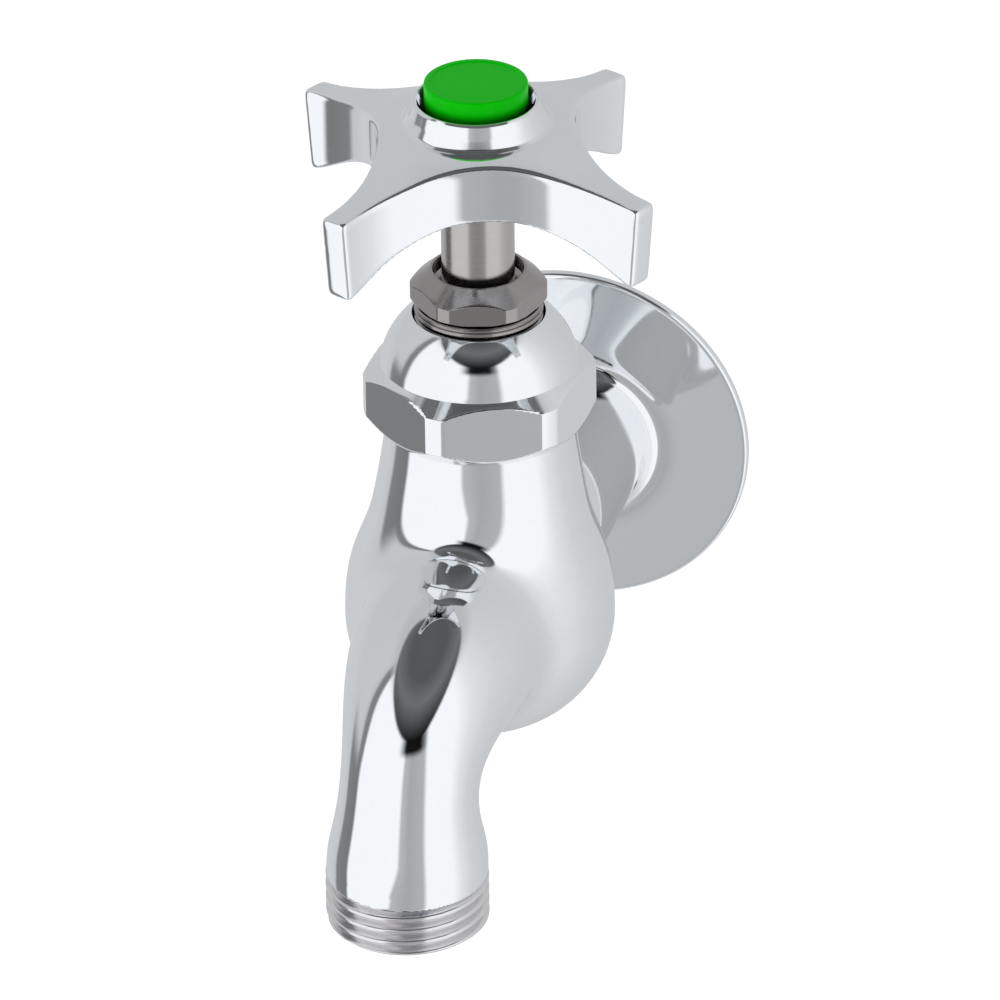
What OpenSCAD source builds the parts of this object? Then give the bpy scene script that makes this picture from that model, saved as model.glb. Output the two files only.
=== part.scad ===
// Wall-mounted hose bib: compression valve with a four-arm handle.
// Row frame: origin on the inlet axis at the wall face of the flange,
// +Z up, +Y into the wall. Millimetres.

/* [Body] */
// distance from the wall face to the spindle axis
stem_to_wall = 63; // [50:0.5:80]
// distance from the spindle axis to the outlet axis
outlet_reach = 49.7; // [40:0.1:60]
// greatest radius of the globe
globe_r = 22.9; // [18:0.1:28]
// radius of the globe's flattened lower half
globe_low_r = 20.2; // [16:0.1:26]
// height of the globe's greatest girth above the inlet axis
globe_z = 1; // [-3:0.1:5]
// radius of the neck just under the bonnet
neck_top_r = 15.7; // [13:0.1:18]
// height where the neck meets the bonnet
neck_top_z = 36; // [30:0.1:42]
// outer radius of the spout at its narrowest
spout_r = 12; // [10:0.1:15]
// centreline radius of the spout bend
bend_r = 25; // [20:0.1:38]
// height of the end of the bend
bend_end_z = -20; // [-26:0.1:-12]
// radius of the water way
way_r = 7.2; // [5:0.1:9]

/* [Inlet] */
// radius of the wall flange
flange_r = 31.4; // [25:0.1:40]
// thickness of the wall flange
flange_t = 2.2; // [1.5:0.1:5]
// radius of the inlet neck
inlet_neck_r = 13.8; // [12.5:0.1:18]
// bore radius of the tapped inlet, at the thread crests
inlet_bore_r = 9.25; // [8:0.05:11]
// bore length of the tapped inlet
inlet_bore_len = 18; // [12:0.5:24]

// height of the inlet axis in the turned parts' frame
inlet_rise = 0.8; // [-3:0.1:3]

/* [Outlet thread] */
// crest radius of the hose thread
hose_crest_r = 13.49; // [13:0.01:14]
// root radius of the hose thread
hose_root_r = 12.25; // [11:0.01:13]
// pitch of the hose thread
hose_pitch = 2.209; // [2:0.001:2.5]
// height of the outlet's end face
outlet_z = -31; // [-36:0.1:-24]
// bore radius of the outlet
outlet_bore_r = 9.2; // [7:0.1:10.5]

/* [Bonnet cap] */
// distance across the flats of the cap
cap_af = 35; // [30:0.1:40]
// corner radius of the turned cap
cap_corner_r = 19.4; // [17:0.1:22]
// height of the cap's shoulder above the inlet axis
cap_top_z = 47.8; // [44:0.1:52]
// radius of the dome's foot
dome_base_r = 16.56; // [15:0.01:18]
// height of the dome's hole edge
dome_top_z = 56.6; // [53:0.1:60]
// radius of the dome's arc in section
dome_arc_r = 24; // [18:0.5:60]
// radius of the dome's hole
dome_hole_r = 11.05; // [9:0.05:13]

/* [Packing nut] */
// distance across the flats of the packing nut
nut_af = 20.7; // [18:0.1:24]
// corner radius of the turned packing nut
nut_corner_r = 11.35; // [10:0.05:13]
// height of the packing nut's lower face
nut_low_z = 58.9; // [57:0.1:61]
// height of the packing nut's top face
nut_top_z = 64.5; // [62:0.1:68]
// radius of the recess in the packing nut's top
nut_recess_r = 7.57; // [7:0.01:9]

/* [Spindle] */
// radius of the spindle shaft
stem_r = 6.07; // [5:0.01:8]
// radial clearance of the spindle in its guides
stem_gap = 0.06; // [0.01:0.01:0.1]
// lead of the spindle thread
lead = 3.175; // [2:0.005:5]
// crest radius of the spindle thread
acme_crest_r = 7.6; // [7:0.05:9]
// root radius of the spindle thread
acme_root_r = 6.3; // [5:0.05:8]
// radial and axial slack of the spindle thread
acme_gap = 0.16; // [0.05:0.01:0.3]
// height of the top shoulder of the spindle
shoulder_z = 82; // [76:0.1:86]
// width of the square that drives the handle
drive_w = 7.1; // [6:0.1:9]

/* [Seat and washer] */
// height of the seat's lip above the inlet axis
seat_z = 6; // [3:0.1:10]
// bore radius of the removable seat
seat_bore_r = 4.7; // [3:0.1:6]
// thickness of the seat washer
washer_t = 3.4; // [2:0.1:5]
// radius of the seat washer
washer_r = 7.3; // [6:0.1:9]

/* [Handle] */
// reach of a handle arm from the axis
arm_reach = 35.6; // [28:0.1:45]
// distance of the scallop centres from the axis
scallop_d = 47.3; // [34:0.1:60]
// radius of the scallops between the arms
scallop_r = 31; // [20:0.1:44]
// rotation of the arms about the spindle axis
arm_turn = -25.7; // [-45:0.1:45]
// height of the collar's rim
collar_z = 94.7; // [90:0.1:98]
// outer radius of the collar's rim
collar_r = 11; // [9:0.1:13]
// inner radius of the collar's rim
collar_in_r = 9.85; // [8:0.05:11]
// radius of the index button
button_r = 8.53; // [7:0.01:10]
// height of the index button's top
button_z = 98; // [95:0.1:101]

/* [Hidden] */
$fn = 72;
eps = 0.02;
cut = 0.4;
bend_y = bend_r - outlet_reach;
bend_top_z = bend_end_z + bend_r;
seat_floor_z = seat_z - 3.2;
seat_thread_r = 7.1;
chamber_r = 12.3;
chamber_top_z = 45.6;
neck_thread_r = 15.1;
neck_thread_root_r = 14.5;
neck_thread_low_z = 37.1;
sleeve_r = chamber_r - 0.12;
sleeve_low_z = 21.5;
sleeve_flange_r = 14.4;
gasket_t = 0.8;
sleeve_flange_z = chamber_top_z + gasket_t;
sleeve_flange_t = 3;
sleeve_neck_r = 10.7;
sleeve_top_z = 58.4;
dome_run = dome_base_r - dome_hole_r;
dome_rise = dome_top_z - cap_top_z;
dome_chord = sqrt(dome_run * dome_run + dome_rise * dome_rise);
dome_back = sqrt(dome_arc_r * dome_arc_r - dome_chord * dome_chord / 4);
dome_c = [(dome_base_r + dome_hole_r) / 2 - dome_back * dome_rise / dome_chord,
    (cap_top_z + dome_top_z) / 2 - dome_back * dome_run / dome_chord];
box_r = 8.3;
box_floor_z = 42.6;
nut_thread_r = 8.95;
nut_thread_low_z = 51.6;
base_washer_t = 1.4;
ring_t = 2.15;
ring_gap = 0.03;
ring_low_z = box_floor_z + base_washer_t + ring_gap;
follower_z = ring_low_z + 3 * (ring_t + ring_gap);
follower_t = nut_thread_low_z - follower_z - ring_gap;
stem_acme_low_z = 19.4;
acme_low_z = stem_acme_low_z + 2 * lead;
stem_acme_top_z = 31.9;
foot_z = seat_z + washer_t + 3.1;
socket_r = 3.3;
socket_top_z = foot_z + 9.2;
shank_r = socket_r - 0.09;
clip_z = foot_z + 5.4;
clip_t = 1;
holder_r = 8.6;
screw_r = 1.9;
button_low_z = 91.6;
hub_r = 9.6;

// ---------- helpers ----------

// cylinder on the spindle axis between two heights
module post(r, z0, z1) {
    translate([0, 0, z0]) cylinder(h = z1 - z0, r = r);
}

// cone on the spindle axis between two heights
module taper(r0, r1, z0, z1) {
    translate([0, 0, z0]) cylinder(h = z1 - z0, r1 = r0, r2 = r1);
}

// ring on the spindle axis between two heights
module ring(r_out, r_in, z0, z1) {
    difference() {
        post(r_out, z0, z1);
        post(r_in, z0 - cut, z1 + cut);
    }
}

// turned hexagon: across flats, corner radius, heights, chamfers and their slope
module turned_hex(af, corner_r, z0, z1, low_c, top_c, slope) {
    intersection() {
        translate([0, 0, z0]) cylinder(h = z1 - z0, r = af / 1.7320508, $fn = 6);
        rotate_extrude() polygon([[0, z0], [corner_r - low_c, z0],
            [corner_r, z0 + low_c * slope], [corner_r, z1 - top_c * slope],
            [corner_r - top_c, z1], [0, z1]]);
    }
}

// rings of a V thread on the local Z axis, crests between two heights
module thread_rings(crest_r, root_r, pitch, z0, z1) {
    flat = pitch / 6;
    turns = floor((z1 - z0 - flat) / pitch);
    for (i = [0 : turns]) {
        z = z0 + i * pitch;
        rotate_extrude() polygon([[root_r - 0.6, z - flat], [root_r, z - flat],
            [crest_r, z], [crest_r, z + flat], [root_r, z + 2 * flat],
            [root_r - 0.6, z + 2 * flat]]);
    }
}

// points of one section of a trapezoid thread, at turn angle a and height z
function rib(a, z, r0, r1, w0, w1) = [
    [r0 * cos(a), r0 * sin(a), z - w0],
    [r1 * cos(a), r1 * sin(a), z - w1],
    [r1 * cos(a), r1 * sin(a), z + w1],
    [r0 * cos(a), r0 * sin(a), z + w0]];

// helical trapezoid rib: foot radius r0, crest radius r1, half widths w0 and w1
module helix(r0, r1, w0, w1, z0, turns, steps) {
    n = turns * steps;
    s = r1 > r0 ? -1 : 1;
    pts = [for (i = [0 : n]) each rib(i * 360 / steps, z0 + lead * i / steps, r0, r1, s * w0, s * w1)];
    sides = [for (i = [0 : n - 1], k = [0 : 3]) each [
        [4 * i + k, 4 * i + 4 + k, 4 * i + (k + 1) % 4],
        [4 * i + 4 + k, 4 * i + 4 + (k + 1) % 4, 4 * i + (k + 1) % 4]]];
    ends = [[0, 1, 2], [0, 2, 3], [4 * n + 3, 4 * n + 2, 4 * n], [4 * n + 2, 4 * n + 1, 4 * n]];
    polyhedron(points = pts, faces = concat(sides, ends));
}

module at_stem() {
    translate([0, -stem_to_wall, -inlet_rise]) children();
}

// lay a turned shape along +Y with its foot on the inlet axis
module along_y() {
    translate([0, 0, inlet_rise]) rotate([-90, 0, 0]) children();
}

// ---------- body ----------

// turned outside of the globe and neck
module globe_skin() {
    upper_r = 40;
    low_x = globe_r - globe_low_r;
    cone_r = neck_top_r + 0.178 * (neck_top_z - 18);
    rotate_extrude() {
        intersection() {
            translate([globe_r - upper_r, globe_z]) circle(r = upper_r, $fn = 160);
            translate([0, globe_z]) square([50, 18.4 - globe_z]);
        }
        polygon([[0, 12], [8, 12], [cone_r, 18], [neck_top_r, neck_top_z], [0, neck_top_z]]);
        intersection() {
            translate([low_x, globe_z]) circle(r = globe_low_r, $fn = 120);
            translate([low_x, globe_z - 30]) square([50, 30]);
        }
        translate([0, globe_z - globe_low_r]) square([low_x, globe_low_r]);
    }
}

// outside of the spout: shoulder cone, bend and outlet
module spout_skin() {
    flare_r = 13.3;
    translate([0, bend_y, bend_end_z])
        rotate([90, 0, -90])
            rotate_extrude(angle = 90)
                translate([bend_r, 0]) circle(r = spout_r);
    translate([0, bend_y, bend_top_z]) rotate([-90, 0, 0]) cylinder(h = 12, r = spout_r);
    translate([0, -8, bend_top_z + 1])
        rotate([96, 0, 0])
            cylinder(h = 32, r1 = 17.2, r2 = 10.8);
    translate([0, -outlet_reach, 0]) rotate_extrude() polygon([[0, bend_end_z],
        [spout_r, bend_end_z], [flare_r, bend_end_z - 1.6], [flare_r, bend_end_z - 2.2],
        [hose_root_r, bend_end_z - 2.8], [hose_root_r, outlet_z], [0, outlet_z]]);
    translate([0, -outlet_reach, 0])
        thread_rings(hose_crest_r, hose_root_r, hose_pitch, outlet_z + 0.9, outlet_z + 8);
}

// outside of the inlet neck and wall flange
module inlet_skin() {
    face_y = stem_to_wall - flange_t;
    along_y() rotate_extrude() {
        square([inlet_neck_r, stem_to_wall]);
        polygon([[0, face_y - 0.4], [flange_r - 2.4, face_y], [flange_r - 0.7, face_y + 0.4],
            [flange_r, face_y + 1.1], [flange_r, stem_to_wall], [0, stem_to_wall]]);
        difference() {
            translate([0, face_y - 4]) square([inlet_neck_r + 4, 4.4]);
            translate([inlet_neck_r + 4, face_y - 4]) circle(r = 4);
        }
    }
}

// water ways cut out of the body
module ways() {
    rotate_extrude() polygon([[0, -3.4], [seat_thread_r, -3.4], [seat_thread_r, seat_floor_z],
        [13.5, seat_floor_z], [17.6, 7], [17.6, 12], [chamber_r, 21],
        [chamber_r, chamber_top_z + cut], [0, chamber_top_z + cut]]);
    translate([0, 0, -7.4]) sphere(r = 8.8);
    translate([0, 46, 0.9]) rotate([101.8, 0, 0]) cylinder(h = 47, r = 6.6);
    translate([0, stem_to_wall, inlet_rise]) rotate([90, 0, 0]) rotate_extrude() polygon([[0, -cut],
        [inlet_bore_r, -cut], [inlet_bore_r, inlet_bore_len], [0, inlet_bore_len + 5]]);
    translate([0, bend_y, bend_end_z])
        rotate([90, 0, -90])
            rotate_extrude(angle = 90)
                translate([bend_r, 0]) circle(r = way_r);
    translate([0, -6, bend_top_z + 5.4]) rotate([106.1, 0, 0]) cylinder(h = 21, r = way_r - 0.4);
    translate([0, -outlet_reach, 0]) rotate_extrude() polygon([[0, outlet_z - cut],
        [outlet_bore_r, outlet_z - cut], [outlet_bore_r, outlet_z + 7.6],
        [way_r + 0.7, outlet_z + 9.4], [way_r + 0.7, bend_end_z + 1.5], [0, bend_end_z + 1.5]]);
}

module valve_body() {
    color([0.83, 0.84, 0.85]) at_stem() difference() {
        union() {
            globe_skin();
            spout_skin();
            inlet_skin();
            post(neck_thread_root_r, neck_top_z - 4, chamber_top_z);
            thread_rings(neck_thread_r, neck_thread_root_r, 1.411, neck_thread_low_z, chamber_top_z - 0.6);
        }
        ways();
    }
}

// ---------- seat and cartridge ----------

module removable_seat() {
    color([0.80, 0.66, 0.36]) at_stem() difference() {
        union() {
            post(seat_thread_r - 0.02, -3.2, seat_floor_z);
            post(8.9, seat_floor_z, seat_z - 1.6);
            taper(8.9, 6.6, seat_z - 1.6 - eps, seat_z);
        }
        taper(seat_bore_r, seat_bore_r + 0.8, seat_z - 1, seat_z + 0.25);
        translate([0, 0, -4]) cylinder(h = seat_z - 1, r = 4.9, $fn = 6);
        post(seat_bore_r, -4, seat_z + cut);
    }
}

module cartridge_sleeve() {
    color([0.79, 0.65, 0.37]) at_stem() union() {
        difference() {
            union() {
                post(sleeve_r, sleeve_low_z, sleeve_flange_z + eps);
                post(sleeve_flange_r, sleeve_flange_z, sleeve_flange_z + sleeve_flange_t);
                post(sleeve_neck_r, sleeve_flange_z, sleeve_top_z);
            }
            post(acme_crest_r + acme_gap, sleeve_low_z - cut, 40.2);
            post(stem_r + stem_gap, 40.2 - eps, box_floor_z + eps);
            post(box_r, box_floor_z, nut_thread_low_z - 0.4);
            post(nut_thread_r + 0.03, nut_thread_low_z - 0.4 - eps, sleeve_top_z + cut);
            ring(sleeve_r + cut, sleeve_r - 1.35, 30, 32.4);
            ring(sleeve_neck_r + cut, sleeve_neck_r - 0.5, 56.2, 56.9);
            ring(sleeve_neck_r + cut, sleeve_neck_r - 0.5, 57.5, 57.9);
        }
        helix(acme_crest_r + acme_gap + 0.3, acme_root_r + acme_gap, 0.85, 0.36,
            acme_low_z + lead / 2, 3, 36);
    }
}

module sleeve_gasket() {
    color([0.55, 0.30, 0.22]) at_stem()
        ring(sleeve_flange_r - 0.1, sleeve_r + 0.05, chamber_top_z, chamber_top_z + gasket_t);
}

module sleeve_o_ring() {
    color([0.08, 0.08, 0.08]) at_stem() intersection() {
        translate([0, 0, 31.2]) rotate_extrude() translate([sleeve_r - 0.5, 0]) circle(r = 0.84, $fn = 40);
        ring(chamber_r - 0.03, 8, 28, 34);
    }
}

module bonnet_cap() {
    shoulder_r = cap_af / 2 - 0.4;
    color([0.83, 0.84, 0.85]) at_stem() difference() {
        union() {
            rotate([0, 0, 22 - 90]) rotate([0, 0, 30])
                turned_hex(cap_af, cap_corner_r, neck_top_z, cap_top_z,
                    cap_corner_r - neck_top_r, cap_corner_r - dome_base_r, 0.8);
            rotate_extrude() {
                intersection() {
                    translate([dome_c[0], dome_c[1]]) circle(r = dome_arc_r, $fn = 120);
                    translate([0, cap_top_z]) square([dome_base_r + 5, dome_top_z - cap_top_z]);
                }
                translate([0, cap_top_z - 2]) square([dome_base_r, 2]);
            }
        }
        post(neck_thread_r + 0.15, neck_top_z - cut, 46.2);
        post(sleeve_flange_r + 0.25, 46.2 - eps, sleeve_flange_z + sleeve_flange_t);
        post(dome_hole_r, 46, dome_top_z + cut);
    }
}

// ---------- packing ----------

module packing_nut() {
    color([0.42, 0.40, 0.38]) at_stem() difference() {
        union() {
            rotate([0, 0, 14 - 90]) rotate([0, 0, 30])
                turned_hex(nut_af, nut_corner_r, nut_low_z, nut_top_z, 0.5, 3.4, 0.58);
            post(nut_thread_r - 0.5, nut_thread_low_z, nut_low_z + eps);
            thread_rings(nut_thread_r, nut_thread_r - 0.5, 1.27, nut_thread_low_z + 0.5, nut_low_z - 0.5);
        }
        post(stem_r + 0.35, nut_thread_low_z - cut, nut_top_z);
        post(nut_recess_r, nut_top_z - 2.4, nut_top_z + cut);
        taper(stem_r + 0.35, nut_recess_r, nut_top_z - 3.4, nut_top_z - 2.4 + eps);
    }
}

module packing_follower() {
    color([0.78, 0.64, 0.36]) at_stem()
        ring(box_r - 0.06, stem_r + stem_gap + 0.02, follower_z, follower_z + follower_t);
}

module packing_ring(i) {
    z = ring_low_z + i * (ring_t + ring_gap);
    color([0.16, 0.16, 0.17]) at_stem() rotate_extrude() polygon([
        [stem_r + 0.02, z + 0.3], [stem_r + 0.3, z], [box_r - 0.3, z], [box_r - 0.02, z + 0.3],
        [box_r - 0.02, z + ring_t - 0.3], [box_r - 0.3, z + ring_t],
        [stem_r + 0.3, z + ring_t], [stem_r + 0.02, z + ring_t - 0.3]]);
}

module packing_ring_lower() {
    packing_ring(0);
}

module packing_ring_middle() {
    packing_ring(1);
}

module packing_ring_upper() {
    packing_ring(2);
}

module packing_base_washer() {
    color([0.80, 0.66, 0.36]) at_stem()
        ring(box_r - 0.06, stem_r + stem_gap + 0.02, box_floor_z, box_floor_z + base_washer_t);
}

// ---------- spindle ----------

module spindle() {
    color([0.72, 0.72, 0.71]) at_stem() difference() {
        union() {
            rotate_extrude() polygon([[socket_r + 0.5, foot_z], [acme_root_r + 0.9, foot_z],
                [acme_root_r + 0.9, stem_acme_low_z - 1.3], [acme_root_r, stem_acme_low_z - 1.1],
                [acme_root_r, stem_acme_top_z + 1.4], [stem_r, stem_acme_top_z + 1.9],
                [stem_r, shoulder_z - 0.5], [stem_r - 0.5, shoulder_z], [0, shoulder_z],
                [0, socket_top_z], [socket_r, socket_top_z], [socket_r, clip_z + clip_t + 0.1],
                [socket_r + 0.75, clip_z + clip_t + 0.1], [socket_r + 0.75, clip_z],
                [socket_r, clip_z], [socket_r, foot_z + 0.5]]);
            translate([-drive_w / 2, -drive_w / 2, shoulder_z - 1])
                cube([drive_w, drive_w, button_low_z - 3.8 - shoulder_z + 1]);
            helix(acme_root_r - 0.3, acme_crest_r, 0.86, 0.42, stem_acme_low_z, 4, 36);
        }
        rotate_extrude() polygon([[0, shoulder_z - 6.9], [2.02, shoulder_z - 6],
            [2.02, shoulder_z + 10], [0, shoulder_z + 10]]);
    }
}

module holder_clip() {
    color([0.76, 0.75, 0.72]) at_stem() difference() {
        ring(socket_r + 0.65, socket_r - 0.55, clip_z + 0.05, clip_z + 0.05 + clip_t);
        translate([1, -0.8, clip_z - 1]) cube([6, 1.6, 3]);
    }
}

module washer_holder() {
    low = seat_z + 0.9;
    color([0.80, 0.66, 0.36]) at_stem() difference() {
        union() {
            post(holder_r, low, foot_z - 0.55);
            taper(holder_r, holder_r - 0.5, foot_z - 0.55 - eps, foot_z - 0.05);
            post(shank_r, foot_z - 0.5, clip_z - 0.05);
            post(socket_r - 0.65, clip_z - 0.5, clip_z + clip_t + 0.6);
            post(shank_r, clip_z + clip_t + 0.15, clip_z + clip_t + 1.4);
            taper(shank_r, shank_r - 0.6, clip_z + clip_t + 1.4 - eps, clip_z + clip_t + 2);
        }
        post(washer_r + 0.04, low - cut, seat_z + washer_t);
        post(screw_r + 0.01, low, seat_z + washer_t + 6.2);
    }
}

module seat_washer() {
    color([0.07, 0.07, 0.07]) at_stem() difference() {
        union() {
            taper(washer_r - 0.3, washer_r, seat_z, seat_z + 0.3);
            post(washer_r, seat_z + 0.3 - eps, seat_z + washer_t);
        }
        post(screw_r + 0.1, seat_z - cut, seat_z + washer_t + cut);
        post(3.7, seat_z - cut, seat_z + 1.2);
    }
}

module seat_screw() {
    color([0.80, 0.68, 0.40]) at_stem() difference() {
        union() {
            post(screw_r, seat_z - 0.2, seat_z + washer_t + 5.6);
            taper(2.5, 3.5, seat_z - 0.9, seat_z - 0.2);
            post(3.5, seat_z - 0.2 - eps, seat_z + 1.2);
        }
        translate([-4, -0.45, seat_z - 1.2]) cube([8, 0.9, 1.2]);
    }
}

// ---------- handle ----------

// turned outline of the handle before the scallops are cut
module handle_blank() {
    rotate_extrude() polygon([[0, 81], [13, 81], [16.5, 80.9], [20, 79.6], [27, 76.4],
        [arm_reach - 3, 73.7], [arm_reach - 1.7, 73.9], [arm_reach - 0.8, 75.2],
        [arm_reach, 84.6], [arm_reach - 0.4, 85.9], [arm_reach - 1.4, 86.5], [28, 87.6],
        [21, 89.4], [15, 91.1], [hub_r + 1.4, 91.7], [hub_r + 0.2, 92.2], [hub_r + 0.5, 93.2],
        [collar_r - 0.3, 94.3], [collar_r, 94.9], [collar_r - 0.35, 95.2], [0, 95.2]]);
}

module handle() {
    seat_floor = button_low_z - 3.2;
    color([0.83, 0.84, 0.85]) at_stem() difference() {
        rotate([0, 0, arm_turn]) difference() {
            handle_blank();
            for (k = [0 : 3]) {
                rotate([0, 0, 45 + 90 * k]) translate([scallop_d, 0, 60])
                    cylinder(h = 40, r = scallop_r);
            }
        }
        translate([-drive_w / 2 - 0.03, -drive_w / 2 - 0.03, 70])
            cube([drive_w + 0.06, drive_w + 0.06, 25]);
        rotate_extrude() polygon([[0, 70], [stem_r + 0.05, 70], [stem_r + 0.05, shoulder_z + 0.75],
            [0, shoulder_z + 0.75]]);
        rotate_extrude() polygon([[0, seat_floor], [button_r - 0.2, seat_floor],
            [button_r - 0.2, button_low_z], [collar_in_r, collar_z + 0.1], [collar_in_r, 99], [0, 99]]);
    }
}

module handle_lock_washer() {
    color([0.78, 0.78, 0.77]) at_stem() difference() {
        ring(4.6, 2.2, button_low_z - 3.2, button_low_z - 2.4);
        rotate([0, 0, 30]) translate([1, -0.35, 85]) cube([6, 0.7, 10]);
    }
}

module handle_screw() {
    top = button_low_z - 2.4;
    color([0.78, 0.78, 0.77]) at_stem() difference() {
        union() {
            post(2.0, shoulder_z - 5.6, top + eps);
            post(3.9, top, top + 1.3);
            taper(3.9, 2.9, top + 1.3 - eps, top + 2.1);
        }
        translate([-5, -0.5, top + 1]) cube([10, 1, 2]);
    }
}

module index_button() {
    color([0.06, 0.62, 0.06]) at_stem() difference() {
        union() {
            post(button_r - 0.24, button_low_z, 94);
            taper(button_r - 0.24, button_r, 94 - eps, 94.4);
            post(button_r, 94.4 - eps, button_z - 0.5);
            taper(button_r, button_r - 0.5, button_z - 0.5 - eps, button_z);
        }
        post(button_r - 1.7, button_low_z - cut, 95.6);
    }
}

valve_body();
removable_seat();
cartridge_sleeve();
sleeve_gasket();
sleeve_o_ring();
bonnet_cap();
packing_nut();
packing_follower();
packing_ring_upper();
packing_ring_middle();
packing_ring_lower();
packing_base_washer();
spindle();
holder_clip();
washer_holder();
seat_washer();
seat_screw();
handle();
handle_lock_washer();
handle_screw();
index_button();
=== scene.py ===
"""Chrome wall-mounted hose bib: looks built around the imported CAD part."""
import math

import bpy
import numpy as np
from mathutils import Matrix, Vector


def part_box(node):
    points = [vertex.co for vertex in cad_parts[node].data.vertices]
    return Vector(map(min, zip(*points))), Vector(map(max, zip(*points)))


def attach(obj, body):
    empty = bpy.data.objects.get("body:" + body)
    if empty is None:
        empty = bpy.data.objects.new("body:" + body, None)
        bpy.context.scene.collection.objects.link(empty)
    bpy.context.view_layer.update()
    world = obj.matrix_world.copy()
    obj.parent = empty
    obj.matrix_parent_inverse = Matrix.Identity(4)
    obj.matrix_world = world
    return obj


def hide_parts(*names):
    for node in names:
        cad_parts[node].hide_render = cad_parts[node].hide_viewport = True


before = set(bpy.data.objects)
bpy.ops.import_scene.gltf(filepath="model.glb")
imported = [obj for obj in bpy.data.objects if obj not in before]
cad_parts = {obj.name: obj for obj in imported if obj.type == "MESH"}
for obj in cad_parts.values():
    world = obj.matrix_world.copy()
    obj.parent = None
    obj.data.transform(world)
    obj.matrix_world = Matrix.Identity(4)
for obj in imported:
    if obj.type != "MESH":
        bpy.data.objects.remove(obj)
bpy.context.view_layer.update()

# ---------- where things are ----------
# Shapes are written in millimetres about the spindle axis. Their zero height is
# fixed by the packing nut, whose top face stands 64.5 mm above it.

NUT_TOP = 64.5
MM = 0.001
nut_low, nut_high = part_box("packing_nut")
ORIGIN = Vector(((nut_low.x + nut_high.x) / 2, (nut_low.y + nut_high.y) / 2,
                 nut_high.z - NUT_TOP * MM))
RISE = -ORIGIN.z / MM               # height of the inlet axis
WALL = -ORIGIN.y / MM               # distance from the spindle axis to the wall face

HOUSING, CARRIER, TURNING = "housing", "washer_carrier", "turning_spindle"


def to_metres(points):
    """points in millimetres about the spindle axis, as row frame metres"""
    return np.asarray(points, float) * MM + np.array(ORIGIN)


# ---------- mathematics of smooth shapes ----------

TINY = 1e-12                        # keeps a division by a length from failing


def smin(a, b, k, power=3):
    """smaller of two distances, blended over k so that curvature stays smooth;
    a high power gives a tight middle with long soft ends"""
    return np.minimum(a, b) - np.maximum(1 - np.abs(a - b) / k, 0) ** power * (k / (2 * power))


def smax(a, b, k):
    return -smin(-a, -b, k)


def step(x, start, end):
    """rises smoothly from 0 at start to 1 at end"""
    t = np.clip((x - start) / (end - start), 0, 1)
    return t * t * (3 - 2 * t)


def spline(*knots):
    """natural cubic spline through (x, y) knots, level beyond its ends"""
    x, y = np.array(knots, float).T
    gap = np.diff(x)
    rise = np.diff(y) / gap
    count = len(x)
    matrix = np.eye(count)
    right = np.zeros(count)
    for i in range(1, count - 1):
        matrix[i, i - 1:i + 2] = gap[i - 1], 2 * (gap[i - 1] + gap[i]), gap[i]
        right[i] = 6 * (rise[i] - rise[i - 1])
    bend = np.linalg.solve(matrix, right)

    def at(value):
        t = np.clip(value, x[0], x[-1])
        i = np.clip(np.searchsorted(x, t) - 1, 0, count - 2)
        u, w, g = t - x[i], x[i + 1] - t, gap[i]
        return ((bend[i] * w ** 3 + bend[i + 1] * u ** 3) / (6 * g)
                + (y[i] / g - bend[i] * g / 6) * w
                + (y[i + 1] / g - bend[i + 1] * g / 6) * u)

    return at


def section(r, z, loop):
    """signed distance in the (r, z) plane to a closed loop of points"""
    nearest = np.full(np.shape(r), np.inf)
    inside = np.zeros(np.shape(r), bool)
    for (r0, z0), (r1, z1) in zip(loop, loop[1:] + loop[:1]):
        er, ez = r1 - r0, z1 - z0
        t = np.clip(((r - r0) * er + (z - z0) * ez) / (er * er + ez * ez), 0, 1)
        nearest = np.minimum(nearest, (r - r0 - er * t) ** 2 + (z - z0 - ez * t) ** 2)
        if ez:
            inside ^= ((z0 > z) != (z1 > z)) & (r < er * (z - z0) / ez + r0)
    return np.where(inside, -1, 1) * np.sqrt(nearest)


def rod(x, y, z, start, end, radius):
    """distance to a round-ended rod"""
    a, b = np.array(start, float), np.array(end, float)
    d = b - a
    along = (x - a[0]) * d[0] + (y - a[1]) * d[1] + (z - a[2]) * d[2]
    t = np.clip(along / (d @ d), 0, 1)
    return np.sqrt((x - a[0] - d[0] * t) ** 2 + (y - a[1] - d[1] * t) ** 2
                   + (z - a[2] - d[2] * t) ** 2) - radius


def unit(vectors):
    """vectors scaled to length one"""
    return vectors / np.maximum(np.linalg.norm(vectors, axis=-1, keepdims=True), TINY)


# ---------- meshes ----------


def make_object(name, verts, faces, normals):
    """mesh object from points in millimetres, with its own vertex normals"""
    mesh = bpy.data.meshes.new(name)
    mesh.from_pydata(to_metres(verts).tolist(), [], faces)
    mesh.shade_smooth()
    mesh.normals_split_custom_set_from_vertices(np.asarray(normals, float).tolist())
    piece = bpy.data.objects.new(name, mesh)
    bpy.context.scene.collection.objects.link(piece)
    return piece


def slope(field, points, h=0.06):
    """gradient of a distance field at points"""
    out = np.empty_like(points)
    for k in range(3):
        lo, hi = points.copy(), points.copy()
        lo[:, k] -= h
        hi[:, k] += h
        out[:, k] = (field(*hi.T) - field(*lo.T)) / (2 * h)
    return out


CORNERS = [(i, j, k) for i in (0, 1) for j in (0, 1) for k in (0, 1)]
NEWTON_STEPS = 3                    # moves that bring the net's points onto the surface
LONGEST_MOVE = 0.5                  # of one such move, in cells


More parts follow.
